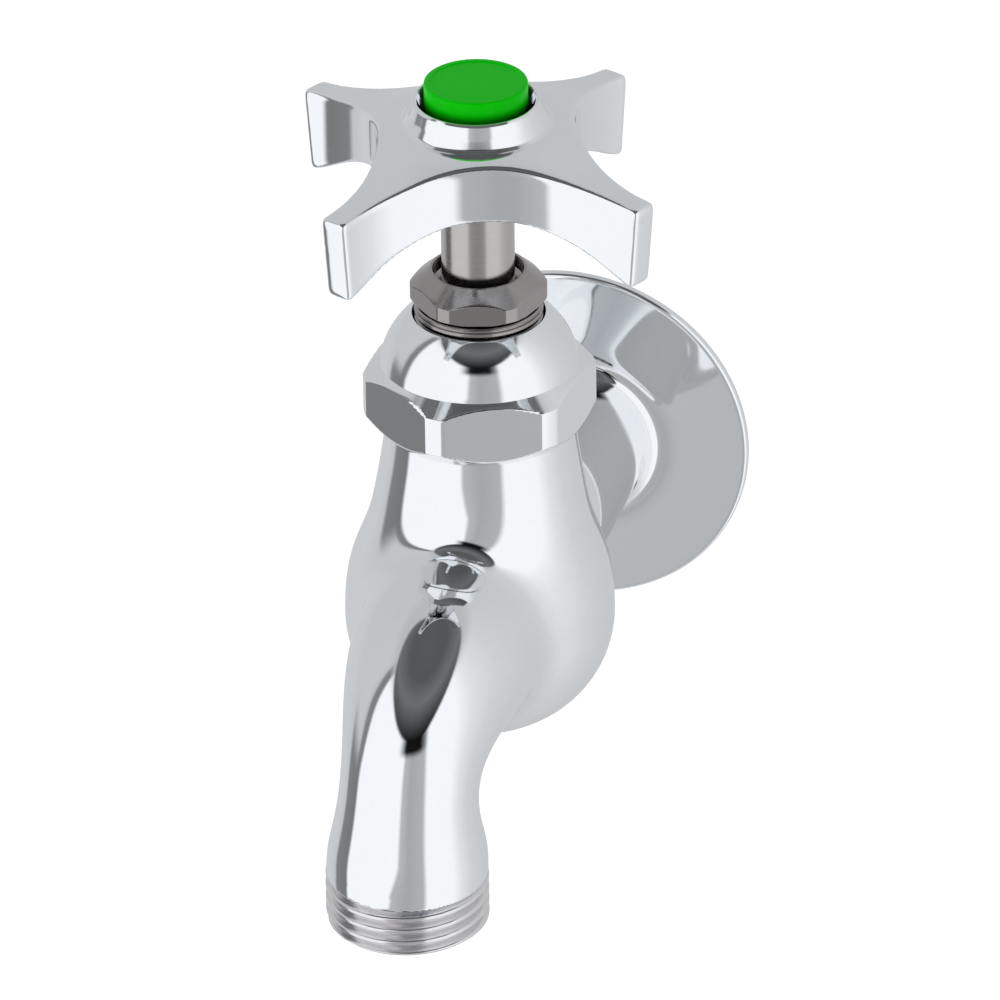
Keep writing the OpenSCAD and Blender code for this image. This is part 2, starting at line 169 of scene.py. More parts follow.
def skin(field, low, high, size):
    """surface net of a distance field: points, quads and normals"""
    axes = [np.arange(low[i], high[i] + size, size) for i in range(3)]
    value = field(*[a.astype(np.float32) for a in np.meshgrid(*axes, indexing="ij")])
    solid = value < 0
    cells = tuple(n - 1 for n in solid.shape)
    count = np.zeros(cells, np.int8)
    for i, j, k in CORNERS:
        count += solid[i:i + cells[0], j:j + cells[1], k:k + cells[2]]
    where = np.argwhere((count > 0) & (count < 8))
    index = np.full(cells, -1, np.int64)
    index[tuple(where.T)] = np.arange(len(where))
    total = np.zeros((len(where), 3))
    hits = np.zeros(len(where))
    for a in range(3):
        for corner in [c for c in CORNERS if c[a] == 0]:
            p = where + corner
            q = p.copy()
            q[:, a] += 1
            v0, v1 = value[tuple(p.T)], value[tuple(q.T)]
            cross = (v0 < 0) != (v1 < 0)
            t = np.where(cross, v0 / np.where(cross, v0 - v1, 1), 0)
            spot = np.array(corner, float) + np.zeros((len(where), 3))
            spot[:, a] += t
            total += spot * cross[:, None]
            hits += cross
    points = np.array(low) + (where + total / hits[:, None]) * size
    quads = []
    for a in range(3):
        b, c = (a + 1) % 3, (a + 2) % 3
        first, second = [slice(None)] * 3, [slice(None)] * 3
        first[a], second[a] = slice(0, -1), slice(1, None)
        e = np.argwhere(solid[tuple(first)] != solid[tuple(second)])
        e = e[(e[:, b] > 0) & (e[:, c] > 0) & (e[:, b] < cells[b]) & (e[:, c] < cells[c])]
        ring = []
        for db, dc in ((1, 1), (0, 1), (0, 0), (1, 0)):
            s = e.copy()
            s[:, b] -= db
            s[:, c] -= dc
            ring.append(index[tuple(s.T)])
        quad = np.stack(ring, 1)
        outward = solid[tuple(e.T)]
        quads.append(np.where(outward[:, None], quad, quad[:, ::-1]))
    for _ in range(NEWTON_STEPS):
        g = slope(field, points)
        move = (field(*points.T) / np.maximum((g * g).sum(1), 0.1))[:, None] * g
        length = np.linalg.norm(move, axis=1, keepdims=True)
        points = points - move * np.minimum(1, LONGEST_MOVE * size / np.maximum(length, TINY))
    return points, np.concatenate(quads).tolist(), unit(slope(field, points))


STRAIGHT = 1.55                     # half the angle of a corner too blunt to round, in radians
SHARE = 0.45                        # of an edge that the rounding of one end may take


def rounded(corners, radius=0.2, spacing=None):
    """section with its corners rounded; a corner is (r, z) or (r, z, its own radius)"""
    points = [np.array(c[:2], float) for c in corners]
    radii = [c[2] if len(c) > 2 else radius for c in corners]
    out = []
    count = len(points)
    for i in range(count):
        here, before, after = points[i], points[i - 1], points[(i + 1) % count]
        on_axis = here[0] == 0
        a, b = before - here, after - here
        la, lb = np.linalg.norm(a), np.linalg.norm(b)
        a, b = a / la, b / lb
        half = math.acos(max(-1, min(1, float(a @ b)))) / 2
        cut = min(radii[i] / max(math.tan(half), 1e-3), SHARE * la, SHARE * lb)
        if on_axis or radii[i] == 0 or half > STRAIGHT:
            out.append(here)
            continue
        for u in (0, 0.25, 0.5, 0.75, 1):
            out.append((1 - u) ** 2 * (here + a * cut) + 2 * u * (1 - u) * here
                       + u * u * (here + b * cut))
    if spacing is None:
        return np.array(out)
    fine = []
    for p, q in zip(out, out[1:] + out[:1]):
        if p[0] == 0 and q[0] == 0:
            fine.append(p)
            continue
        n = max(1, math.ceil(np.linalg.norm(q - p) / spacing))
        fine += [p + (q - p) * i / n for i in range(n)]
    return np.array(fine)


def turned(loop, sides=180, shape=None):
    """a section turned about the spindle axis: points, faces and normals.
    A section that starts and ends on the axis closes there; any other is a ring."""
    loop = np.asarray(loop, float)
    poles = loop[0, 0] == 0
    body = loop[1:-1] if poles else loop
    angle = np.arange(sides) * 2 * math.pi / sides
    r = np.repeat(body[None, :, 0], sides, 0)
    z = np.repeat(body[None, :, 1], sides, 0)
    if shape:
        r = shape(r, z, np.repeat(angle[:, None], len(body), 1))
    grid = np.stack([r * np.cos(angle)[:, None], r * np.sin(angle)[:, None], z], -1)
    padded = grid
    if poles:
        ends = [np.tile([0, 0, loop[i, 1]], (sides, 1, 1)) for i in (0, -1)]
        padded = np.concatenate([ends[0], grid, ends[1]], 1)
        along = padded[:, 2:] - padded[:, :-2]
    else:
        along = np.roll(grid, -1, 1) - np.roll(grid, 1, 1)
    around = np.roll(grid, -1, 0) - np.roll(grid, 1, 0)
    normal = unit(np.cross(around, along))
    m = len(body)
    i, j = np.meshgrid(np.arange(sides), np.arange(m - 1 if poles else m), indexing="ij")
    i2, j2 = (i + 1) % sides, (j + 1) % m
    quads = np.stack([i * m + j, i2 * m + j, i2 * m + j2, i * m + j2], -1).reshape(-1, 4)
    verts = grid.reshape(-1, 3)
    normals = normal.reshape(-1, 3)
    faces = quads.tolist()
    if poles:
        base = len(verts)
        verts = np.concatenate([verts, [[0, 0, loop[0, 1]], [0, 0, loop[-1, 1]]]])
        first = np.sign(np.cross(around[0, 0], along[0, 0])[2]) or 1
        last = np.sign(np.cross(around[0, -1], along[0, -1])[2]) or 1
        normals = np.concatenate([normals, [[0, 0, first], [0, 0, last]]])
        for s in range(sides):
            t = (s + 1) % sides
            faces.append([base, t * m, s * m])
            faces.append([base + 1, s * m + m - 1, t * m + m - 1])
    return verts, faces, normals


def joined(*shells):
    """several closed shells as one set of points, faces and normals"""
    verts, faces, normals, base = [], [], [], 0
    for v, f, n in shells:
        verts.append(v)
        normals.append(n)
        faces += [[k + base for k in face] for face in f]
        base += len(v)
    return np.concatenate(verts), faces, np.concatenate(normals)


def laid_along_y(shell):
    """a turned shell moved from the spindle axis to the inlet axis"""
    verts, faces, normals = shell
    swing = np.array([[1, 0, 0], [0, 0, 1], [0, -1, 0]], float)
    return verts @ swing.T + [0, 0, RISE], faces, normals @ swing.T


# ---------- shapes that vary round the axis ----------


def facets(count, across, turn_degrees, blend):
    """flat sides cut on a turned shape"""
    pitch = 2 * math.pi / count
    turn = math.radians(turn_degrees)

    def shape(r, z, a):
        off = (a - turn + pitch / 2) % pitch - pitch / 2
        return smin(r, across / 2 / np.cos(off), blend)

    return shape


def thread(pitch, depth, low, high, when, crest=0.14, groove=0.16, fade=0.8, chamfer=None,
           offset=0.0):
    """right-handed thread between two heights, on the radii that when(r) picks;
    a depth below zero stands inwards from a bore. crest and groove are the flat shares of
    the pitch, fade is the run-out at each end and chamfer(z) the largest radius."""
    eased = 0.45                        # share of the flank that is an S curve, not straight

    def shape(r, z, a):
        phase = (z / pitch - a / (2 * math.pi) + offset) % 1
        away = np.abs(phase - 0.5) * 2
        straight = np.clip((away - crest) / (1 - groove - crest), 0, 1)
        tooth = 1 - step(away, crest, 1 - groove) * eased - (1 - eased) * straight
        lift = depth * tooth * step(z, low, low + fade) * (1 - step(z, high - fade, high))
        result = r + np.where(when(r), lift, 0)
        if chamfer:
            result = np.minimum(result, np.where(when(r), chamfer(z), np.inf))
        return result

    return shape


# ---------- body ----------

BEND_Y, BEND_Z, BEND_R = -24.7, -20.0, 25.0     # centre and radius of the spout's bend
SHOULDER_Z = -22.3                  # foot of the plain pipe, where the thread's relief starts
OUTLET_Z = -31.0
OUTLET_R = 9.2                      # bore inside the hose thread
NECK_TOP = 36.5                     # top of the globe's neck, under the cap
EQUATOR = 1.0                       # height of the globe's widest ring
SADDLE = 14.0                       # width of the blend between globe and spout
INLET_R = 13.8
INLET_BLEND = 8.0                   # width of the blend between globe and inlet pipe
FAR = 40.0                          # a distance that is outside every shape

# radius of the globe by height, and of the spout and the offset of its middle by the
# distance run from the foot of the bend
globe_girth = spline((1, 22.7), (6, 22.45), (12, 21.25), (18, 19.0), (24, 17.6), (30, 16.6),
                     (36, 15.75))
pipe_radius = spline((-3, 13.35), (0.5, 13.3), (3, 13.0), (6.5, 12.3), (10, 11.7), (14, 11.5),
                     (18, 11.9), (23, 12.9), (30, 14.3), (36, 15.1), (42, 15.0), (50, 13.6),
                     (60, 12.5))
pipe_shift = spline((-3, 0.0), (2, 0.5), (5, 0.6), (10, -0.3), (15, -1.3), (20, -1.2),
                    (28, -0.4), (36, 0.0))


def globe(x, y, z):
    lean = 1.7 * (1 - step(z, 4, 32))
    r = np.hypot(x, y + lean)
    upper = r - globe_girth(z)
    lower = np.hypot(np.maximum(r - 2.8, 0), z - EQUATOR) - 19.9
    return np.where(z > EQUATOR, upper, lower)


def along_pipe(y, z):
    """distance run along the spout's centreline from the foot of its bend, and offset from it"""
    dy, dz = y - BEND_Y, z - BEND_Z
    bent = BEND_R * np.arctan2(np.maximum(dz, 0), np.maximum(-dy, 1e-6))
    run = np.where(dz < 0, dz, bent)
    run = np.where((dy > 0) & (dz >= 0), BEND_R * math.pi / 2 + dy, run)
    off = np.where(dz < 0, -dy, np.hypot(dy, dz))
    off = np.where((dy > 0) & (dz >= 0), dz, off) - BEND_R
    return run, off


def behind_bend(y, z):
    """shuts out the space below and behind the bend's centre, which the spout never enters"""
    return np.where((z < BEND_Z) & (y > BEND_Y), FAR, 0.0)


def spout(x, y, z):
    run, off = along_pipe(y, z)
    return np.hypot(x, off + pipe_shift(run)) - pipe_radius(run) + behind_bend(y, z)


def inlet(x, y, z):
    """inlet pipe, which ends inside the flange"""
    return smax(smax(np.hypot(x, z - RISE) - INLET_R, -y, 1), y - (WALL - 1), 0.3)


def flange_loop():
    """section of the wall flange in (distance from the inlet axis, y); its sleeve covers the
    inlet pipe, starts inside the globe's blend and is faired into the flange's front"""
    start, rim, inner = 21.5, 31.4, 11.0
    reach = 6.5                         # of the fairing, along the sleeve and across the flange
    sleeve = INLET_R + 0.006

    def front(q):
        return WALL - 2.6 + 0.6 * q / 29

    loop = [(12.4, start), (sleeve, start, 0), (sleeve, start + 0.1, 0), (sleeve, start + 0.2, 0)]
    for apart in np.linspace(-reach, reach, 61):
        near = (1 - abs(apart) / reach) ** 3 * reach / 6
        q = sleeve + near + max(apart, 0)
        loop.append((q, front(q) - near - max(-apart, 0), 0))
    return loop + [(rim, front(rim), 0.9), (rim, WALL, 0.6), (inner, WALL, 0.3)]


def outside(x, y, z):
    pipe = np.maximum(smax(spout(x, y, z), SHOULDER_Z - z, 0.6), y)
    solid = smin(smin(globe(x, y, z), pipe, SADDLE, 4), inlet(x, y, z), INLET_BLEND)
    return smax(solid, z - NECK_TOP, 0.3)


def water_ways(x, y, z):
    """the hollow, from the tapped inlet under the seat and out through the spout"""
    r = np.hypot(x, y)
    q = np.hypot(x, z - RISE)
    chamber = section(r, z, [(-5, -3.4), (7.1, -3.4), (7.1, 2.8), (13.5, 2.8), (17.6, 7),
                             (17.6, 12), (12.3, 21), (12.3, 60), (-5, 60)])
    under_seat = np.sqrt(r * r + (z + 7.4) ** 2) - 8.8
    passage = rod(x, y, z, (0, 46, 0.9), (0, 0, -8.7), 6.6)
    socket = section(q, y, [(-5, WALL - 23), (10.25, WALL - 18), (10.25, WALL + 9),
                            (-5, WALL + 9)])
    run, off = along_pipe(y, z)
    bore = np.where(z < BEND_Z + 1.5, 7.9, 7.3)
    bend = np.where(run > 55, FAR, np.hypot(x, off) - bore) + behind_bend(y, z)
    doorway = rod(x, y, z, (0, -6, 10.4), (0, BEND_Y, 5), 6.8)
    way = smin(smin(chamber, doorway, 1), smin(bend, doorway, 1), 0.6)
    return smin(way, smin(smin(under_seat, passage, 1.5), socket, 0.6), 0.4)


def body_field(x, y, z):
    return smax(outside(x, y, z), -water_ways(x, y, z), 0.5)


def ring_of(loop, radius=0.15, spacing=None, **how):
    """a turned shell with rounded corners"""
    return turned(rounded(loop, radius, spacing), **how)


def build_body():
    size = 0.5
    low, high = (-25.0, -64.6, -25.0), (25.0, WALL + 0.5, NECK_TOP + 0.8)
    shell = skin(body_field, low, high, size)
    flange = laid_along_y(turned(rounded(flange_loop()), sides=360))

    hose_thread = thread(2.209, 1.55, OUTLET_Z - 1.2, SHOULDER_Z + 0.9, crest=0.26, groove=0.1,
                         fade=0.9, chamfer=lambda z: 12.5 + (z - OUTLET_Z) * 1.1,
                         when=lambda r: r > 11.5)
    verts, faces, normals = ring_of(
        [(OUTLET_R, OUTLET_Z), (11.95, OUTLET_Z, 0.3), (11.95, -23.2), (11.95, -21.6),
         (8.1, -21.6), (OUTLET_R, -23.4)], sides=320, spacing=0.12, shape=hose_thread)
    outlet = verts + np.array([0, BEND_Y - BEND_R, 0]), faces, normals

    cap_thread = thread(1.411, 0.62, 36.6, 45.4, when=lambda r: r > 13.5)
    stub = ring_of([(12.3, 34.5), (14.5, 34.5), (14.5, 45.6, 0.4), (12.3, 45.6, 0.4)],
                   sides=180, spacing=0.2, shape=cap_thread)

    pipe_thread = thread(1.814, -0.85, WALL - 18.5, WALL - 0.3, when=lambda r: r < 10.4)
    tapped = laid_along_y(ring_of(
        [(11.4, WALL - 17.6), (11.4, WALL - 0.5), (10.6, WALL - 0.5), (10.1, WALL - 0.9),
         (10.1, WALL - 17.6)], sides=216, spacing=0.25, shape=pipe_thread))

    body = make_object("chrome_body", *joined(shell, flange, stub, tapped, outlet))
    body["satin_faces"] = len(faces)    # the outlet's faces, which come last
    return body


# ---------- handle ----------

ARM_TURN = math.radians(-25.7)      # of the first arm from the x axis
SCALLOP_AT, SCALLOP_R = 47.3, 31.0  # the round cuts between the arms
BUTTON_SEAT = 91.6

arm_top = spline((0, 92.05), (8, 91.95), (11, 91.7), (15, 91.0), (21, 89.35), (28, 87.9),
                 (33, 87.2), (37, 86.9))
arm_under = spline((0, 81), (9, 81), (13, 81.1), (16.5, 80.7), (20, 79.4), (27, 76.1),
                   (33, 73.0), (37, 71.8))


def handle_field(x, y, z):
    r = np.hypot(x, y)
    edge = r - (34.7 + (z - 72.5) * 0.085)
    blank = smax(smax(z - arm_top(r), arm_under(r) - z, 1.2), edge, 1.8)
    a = np.arctan2(y, x) - ARM_TURN
    a = (a % (math.pi / 2)) - math.pi / 4
    scallop = SCALLOP_R - np.hypot(r * np.cos(a) - SCALLOP_AT, r * np.sin(a))
    arms = smax(blank, scallop, 1.5)
    recess = section(r, z, [(-5, 88.4), (8.33, 88.4), (8.33, 96), (-5, 96)])
    drive = np.maximum(np.maximum(np.abs(x), np.abs(y)) - 3.6, 78 - z)
    below = section(r, z, [(-5, 70), (6.13, 70), (6.13, 82.75), (-5, 82.75)])
    holes = np.minimum(np.minimum(recess, drive), below)
    return smax(arms, -holes, 0.4)


def build_handle():
    size = 0.42
    shell = skin(handle_field, (-37.0, -37.0, 71.0), (37.0, 37.0, 93.0), size)
    collar = ring_of([(8.33, 90.0), (13.7, 90.0, 0), (13.5, 91.2, 0), (12.75, 91.4, 0.8),
                      (12.05, 91.85, 0.9), (11.2, 93.4, 3), (10.6, 95.25, 0.3),
                      (10.25, 95.6, 0.2), (9.95, 95.6, 0.15), (9.75, 95.3, 0.2),
                      (8.33, BUTTON_SEAT, 0.3)], sides=240)
    return make_object("cross_handle", *joined(shell, collar))


# ---------- turned pieces ----------


def arc(start, end, radius, count=16):
    """points of a bulging arc between two section points, without its ends"""
    p, q = np.array(start, float), np.array(end, float)
    chord = q - p
    length = np.linalg.norm(chord)
    back = math.sqrt(radius * radius - length * length / 4)
    centre = (p + q) / 2 + np.array([-chord[1], chord[0]]) / length * back
    a0 = math.atan2(*(p - centre)[::-1])
    a1 = math.atan2(*(q - centre)[::-1])
    return [tuple(centre + radius * np.array([math.cos(t), math.sin(t)])) + (0,)
            for t in np.linspace(a0, a1, count + 2)[1:-1]]


def build_cap():
    foot, lip = (16.56, 47.8), (11.05, 56.6)        # ends of the dome
    loop = [(15.3, 36.7), (15.95, 36.7), (15.95, 36.0, 0.05), (16.1, 36.0, 0.05),
            (19.4, 38.96, 0.5), (19.4, 45.53, 0.4), foot + (0.12,)]
    loop += arc(foot, lip, 15)
    loop += [lip + (0.25,), (11.05, 49.4), (14.65, 49.4), (14.65, 46.2), (15.3, 46.2)]
    hexed = facets(6, 35, -68, 0.2)
    return make_object("domed_cap", *ring_of(loop, sides=432, spacing=0.45, shape=hexed))


def build_packing_nut():
    loop = [(6.42, 51.6), (8.4, 51.6), (8.4, 58.9, 0), (10.6, 58.9, 0.2), (11.35, 59.35, 0.2),
            (11.35, 61.7, 0.2), (8.0, NUT_TOP, 0.25), (7.57, NUT_TOP, 0.12), (7.57, 62.2),
            (6.42, 61.2)]
    hexed = facets(6, 20.7, -76, 0.15)
    screwed = thread(1.27, 0.5, 51.8, 58.6, fade=0.5, when=lambda r: (r > 8.2) & (r < 8.6))

    def shape(r, z, a):
        return screwed(hexed(r, z, a), z, a)

    return make_object("gland_nut", *ring_of(loop, sides=360, spacing=0.3, shape=shape))


LEAD = 3.175                        # rise of the spindle in one turn


def build_sleeve():
    loop = [(7.76, 21.5), (12.18, 21.5, 0.4), (12.18, 30, 0), (10.9, 30, 0.1), (10.9, 32.4, 0.1),
            (12.18, 32.4, 0), (12.18, 46.4), (14.4, 46.4), (14.4, 49.35, 0.3), (10.7, 49.35),
            (10.7, 55.9, 0.1), (10.25, 56.1, 0.1), (10.25, 56.7, 0.1), (10.7, 56.95, 0.15),
            (10.7, 57.5, 0.15), (10.3, 57.65, 0.1), (10.3, 57.9, 0.1), (10.65, 58.1, 0.12),
            (10.3, 58.4, 0.15), (8.98, 58.4), (8.98, 51.2), (8.3, 51.2), (8.3, 42.6),
            (6.13, 42.6), (6.13, 40.2), (7.76, 40.2)]
    tapped = thread(LEAD, -1.3, 27.3, 38.4, crest=0.3, groove=0.3, fade=1.0,
                    when=lambda r: (r > 7.7) & (r < 7.8))
    return make_object("valve_cartridge", *ring_of(loop, sides=200, spacing=0.27, shape=tapped))


def build_spindle():
    loop = [(0, 21.7), (3.3, 21.7, 0.1), (3.3, 19.0, 0), (4.05, 19.0, 0), (4.05, 17.9, 0),
            (3.3, 17.9, 0), (3.3, 13.0), (3.8, 12.5), (7.2, 12.5, 0.4), (7.2, 18.1, 0.3),
            (6.3, 18.3), (6.3, 33.3), (6.07, 33.8), (6.07, 81.5, 0.15), (5.57, 82.0, 0.1),
            (4.92, 82.0, 0.05), (4.92, 87.8, 0.3), (2.02, 87.8, 0.2), (2.02, 76.0), (0, 75.1)]
    square = facets(4, 7.1, 0, 0.15)
    screwed = thread(LEAD, 1.15, 18.6, 33.1, crest=0.22, groove=0.42, fade=0.9, offset=0.5,
                     when=lambda r: (r > 6.25) & (r < 6.35))

    def shape(r, z, a):
        r = screwed(r, z, a)
        return np.where((z > 82.02) & (r > 3), square(r, z, a), r)

    return make_object("rising_spindle", *ring_of(loop, sides=200, spacing=0.27, radius=0.12,
                                                  shape=shape))


def build_button():
    loop = [(0, 95.6), (6.83, 95.6), (6.83, BUTTON_SEAT), (8.29, BUTTON_SEAT), (8.29, 93.9),
            (8.53, 94.5, 0.4), (8.53, 98.6, 0.55), (7.5, 98.6, 0.15), (7.3, 98.42, 0.15),
            (4, 98.45, 0), (0, 98.46)]
    return make_object("index_cap", *ring_of(loop, sides=240))


def plain_ring(name, inner, unshaded_share, low, high, edge):
    return make_object(name, *ring_of([(inner, low), (unshaded_share, low), (unshaded_share, high), (inner, high)],
                                      radius=edge, sides=144))


def build_o_ring():
    loop = [(11.73 + 0.78 * math.cos(t), 31.2 + 0.84 * math.sin(t))
            for t in np.arange(24) * math.pi / 12]
    return make_object("seal_ring", *turned(loop, 180))


def build_holder():
    loop = [(0, 15.0), (1.91, 15.4), (1.91, 9.4), (7.34, 9.4), (7.34, 6.9), (8.6, 6.9, 0.3),
            (8.6, 11.95, 0.4), (8.1, 12.45, 0.2), (3.21, 12.45), (3.21, 17.85), (2.65, 17.85, 0),
            (2.65, 19.1, 0), (3.21, 19.1, 0), (3.21, 20.3), (2.6, 20.9, 0.2), (0, 20.9)]
    return make_object("disc_holder", *ring_of(loop, radius=0.12, sides=180))


def build_seat_washer():
    loop = [(2.0, 7.2), (3.7, 7.2), (3.7, 6.0), (7.0, 6.0, 0.3), (7.3, 6.4, 0.3),
            (7.3, 9.4, 0.25), (2.0, 9.4)]
    return make_object("flat_disc", *ring_of(loop, sides=144))


# ---------- materials ----------


class Nodes:
    """short form for building a node tree"""

    def __init__(self, tree):
        self.tree = tree
        tree.nodes.clear()

    def add(self, kind, links=None, **settings):
        """a node with its settings; an input is linked from a socket or set to a value"""
        n = self.tree.nodes.new("ShaderNode" + kind)
        for key, value in settings.items():
            setattr(n, key, value)
        for key, value in (links or {}).items():
            if isinstance(value, bpy.types.NodeSocket):
                self.tree.links.new(value, n.inputs[key])
            else:
                n.inputs[key].default_value = value
        return n

    def maths(self, operation, *values):
        return self.add("Math", dict(enumerate(values)), operation=operation).outputs[0]

    def noise(self, vector, size, **detail):
        return self.add("TexNoise", {"Vector": vector, "Scale": size, **detail}).outputs["Fac"]

    def ramp(self, factor, *stops):
        """colour ramp through (position, value) stops; a value is a grey or a colour"""
        n = self.add("ValToRGB", {"Fac": factor})
        elements = n.color_ramp.elements
        while len(elements) < len(stops):
            elements.new(0.5)
        for element, (position, _) in zip(elements, stops):
            element.position = position
        for element, (_, value) in zip(elements, stops):
            grey = isinstance(value, (int, float))
            element.color = (value, value, value, 1) if grey else (*value, 1)
        return n.outputs["Color"]

    def grey(self, colour):
        return self.add("RGBToBW", {"Color": colour}).outputs[0]


def finish(name, colour, metallic, rough, grain, stretch=(1, 1, 1), tint=0.0, bump=0.0,
           wave=None, painted_crevice_shade=None, **shader):
    """a material with a fine grain of the given scale: it varies the roughness between two
    values, darkens the colour by up to tint and raises the surface by bump metres. wave is
    the (scale, height) of slow ripples, and painted_crevice_shade the (reach, colour) of a
    painted shade: in crevices and recesses, where ambient occlusion finds little open sky
    within reach, the colour is darkened towards that colour."""
    material = bpy.data.materials.new(name)
    material.use_nodes = True
    n = Nodes(material.node_tree)
    where = n.add("TexCoord").outputs["Object"]
    scaled = n.add("Mapping", {"Vector": where, "Scale": stretch}).outputs[0]
    fine = n.noise(scaled, grain, Detail=4.0, Roughness=0.6)
    links = {"Metallic": metallic, "Roughness": n.ramp(fine, (0.3, rough[0]), (0.7, rough[1])),
             "Base Color": (*colour, 1), **shader}
    if tint:
        dark = tuple(c * (1 - tint) for c in colour)
        links["Base Color"] = n.ramp(fine, (0.25, dark), (0.75, colour))
    # painted shade: ambient occlusion darkens the base colour towards a shade colour in crevices
    # and recesses
    if painted_crevice_shade:
        reach, shade = painted_crevice_shade
        open_sky = n.add("AmbientOcclusion", {"Distance": reach}).outputs["AO"]
        unshaded_share = n.ramp(open_sky, (0.25, 0.0), (0.8, 1.0))
        links["Base Color"] = n.add(
            "Mix", {"Factor": unshaded_share, "A": (*shade, 1), "B": links["Base Color"]},
            data_type="RGBA").outputs["Result"]
    if wave:
        slow = n.noise(where, wave[0], Detail=1.0)
        links["Normal"] = n.add("Bump", {"Height": slow, "Distance": wave[1],
                                         "Strength": 1.0}).outputs[0]
    if bump:
        under = {"Normal": links["Normal"]} if wave else {}
        links["Normal"] = n.add("Bump", {"Height": fine, "Distance": bump, "Strength": 1.0,
                                         **under}).outputs[0]
    surface = n.add("BsdfPrincipled", links)
    n.add("OutputMaterial", {"Surface": surface.outputs[0]})
    return material


CHROME = (0.86, 0.88, 0.895)
MATERIALS = {
    "body_chrome": finish("polished_plate", CHROME, 1.0, (0.035, 0.06), 700, tint=0.02,
                          wave=(110, 0.000006)),
    "cap_chrome": finish("plated_hex", CHROME, 1.0, (0.05, 0.10), 900, stretch=(1, 1, 4),
                         tint=0.03, wave=(140, 0.000005)),
    "handle_chrome": finish("plated_forging", CHROME, 1.0, (0.05, 0.085), 700, tint=0.02,
                            wave=(90, 0.00001)),
    "dark_nickel": finish("dull_plate", (0.385, 0.36, 0.355), 1.0, (0.1, 0.2), 1400,
                          stretch=(1, 1, 5), tint=0.12, bump=0.0000012),
    "spindle_steel": finish("satin_shaft", (0.52, 0.505, 0.49), 1.0, (0.16, 0.26), 260,
                            stretch=(0.6, 0.6, 22), tint=0.10, bump=0.000002),
    "bare_brass": finish("turned_brass", (0.70, 0.50, 0.22), 1.0, (0.2, 0.36), 300,
                         stretch=(0.6, 0.6, 18), tint=0.2, bump=0.000003),
    "red_fibre": finish("pressed_fibre", (0.30, 0.10, 0.06), 0.0, (0.7, 0.9), 1500, tint=0.4,
                        bump=0.00002),
    "black_rubber": finish("nitrile", (0.018, 0.018, 0.019), 0.0, (0.4, 0.55), 1200, tint=0.2,
                           bump=0.000006),
    "graphite_packing": finish("graphite_yarn", (0.045, 0.045, 0.05), 0.25, (0.45, 0.75), 1100,
                               stretch=(1, 1, 2.5), tint=0.5, bump=0.00005),
    "spring_steel": finish("stainless_wire", (0.66, 0.65, 0.63), 1.0, (0.16, 0.26), 900,
                           tint=0.08, bump=0.000002),
    # painted shade: the green moulding's colour darkens to a near-black green down in its recess
    "green_plastic": finish("green_moulding", (0.0, 0.58, 0.0), 0.0, (0.26, 0.34), 1500,
                            tint=0.05, bump=0.0000008, painted_crevice_shade=(0.006, (0.0, 0.08, 0.0)),
                            **{"Specular IOR Level": 0.07}),
}
SATIN_THREAD = finish("cut_thread", (0.80, 0.79, 0.80), 1.0, (0.12, 0.2), 900,
                      stretch=(0.7, 0.7, 5), tint=0.05, bump=0.000001)

# ---------- place the pieces ----------


def place(piece, body, slot, *nodes):
    """gives a piece its body and its material, and hides the CAD nodes that it stands for"""
    piece.data.materials.clear()
    piece.data.materials.append(MATERIALS[slot])
    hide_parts(*nodes)
    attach(piece, body)
    return piece


valve_body = place(build_body(), HOUSING, "body_chrome", "valve_body")
valve_body.data.materials.append(SATIN_THREAD)
for face in valve_body.data.polygons[-valve_body["satin_faces"]:]:
    face.material_index = 1
place(build_cap(), HOUSING, "cap_chrome", "bonnet_cap")
place(build_packing_nut(), HOUSING, "dark_nickel", "packing_nut")
place(build_sleeve(), HOUSING, "dark_nickel", "cartridge_sleeve")
place(plain_ring("cap_gasket", 12.23, 14.3, 45.6, 46.4, 0.15),
      HOUSING, "red_fibre", "sleeve_gasket")
place(build_o_ring(), HOUSING, "black_rubber", "sleeve_o_ring")
place(plain_ring("gland_follower", 6.15, 8.24, 50.58, 51.57, 0.15),
      HOUSING, "bare_brass", "packing_follower")
for which, low in (("lower", 44.03), ("middle", 46.21), ("upper", 48.39)):
    place(plain_ring("yarn_ring_" + which, 6.09, 8.28, low, low + 2.15, 0.4),
          HOUSING, "graphite_packing", "packing_ring_" + which)
place(plain_ring("gland_base_washer", 6.15, 8.24, 42.6, 44.0, 0.15),
      HOUSING, "bare_brass", "packing_base_washer")
place(build_handle(), TURNING, "handle_chrome", "handle")
place(build_spindle(), TURNING, "spindle_steel", "spindle")
place(build_button(), TURNING, "green_plastic", "index_button")
place(build_holder(), CARRIER, "bare_brass", "washer_holder")
place(build_seat_washer(), CARRIER, "black_rubber", "seat_washer")

# CAD nodes that keep their own shape
KEPT = {"removable_seat": "bare_brass", "seat_screw": "bare_brass", "holder_clip": "spring_steel",
        "handle_lock_washer": "spring_steel", "handle_screw": "spring_steel"}
for name, slot in KEPT.items():
    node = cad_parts[name]
    node.data.materials.clear()
    node.data.materials.append(MATERIALS[slot])

# ---------- floor, light and camera ----------

# lengths here are metres

FLOOR_Z = -0.45
FLOOR_HALF = 12.0
AZIMUTH, ELEVATION, ROLL = math.radians(15.18), math.radians(29.74), math.radians(-0.76)
FOCAL = 8.202                       # focal length in image widths
DISTANCE = 1.382                    # from the camera to the point that it is placed about
OFF_RIGHT, OFF_UP = 0.0201, 0.1068  # from that point to the picture's middle, in image widths
SENSOR = 36.0                       # millimetres


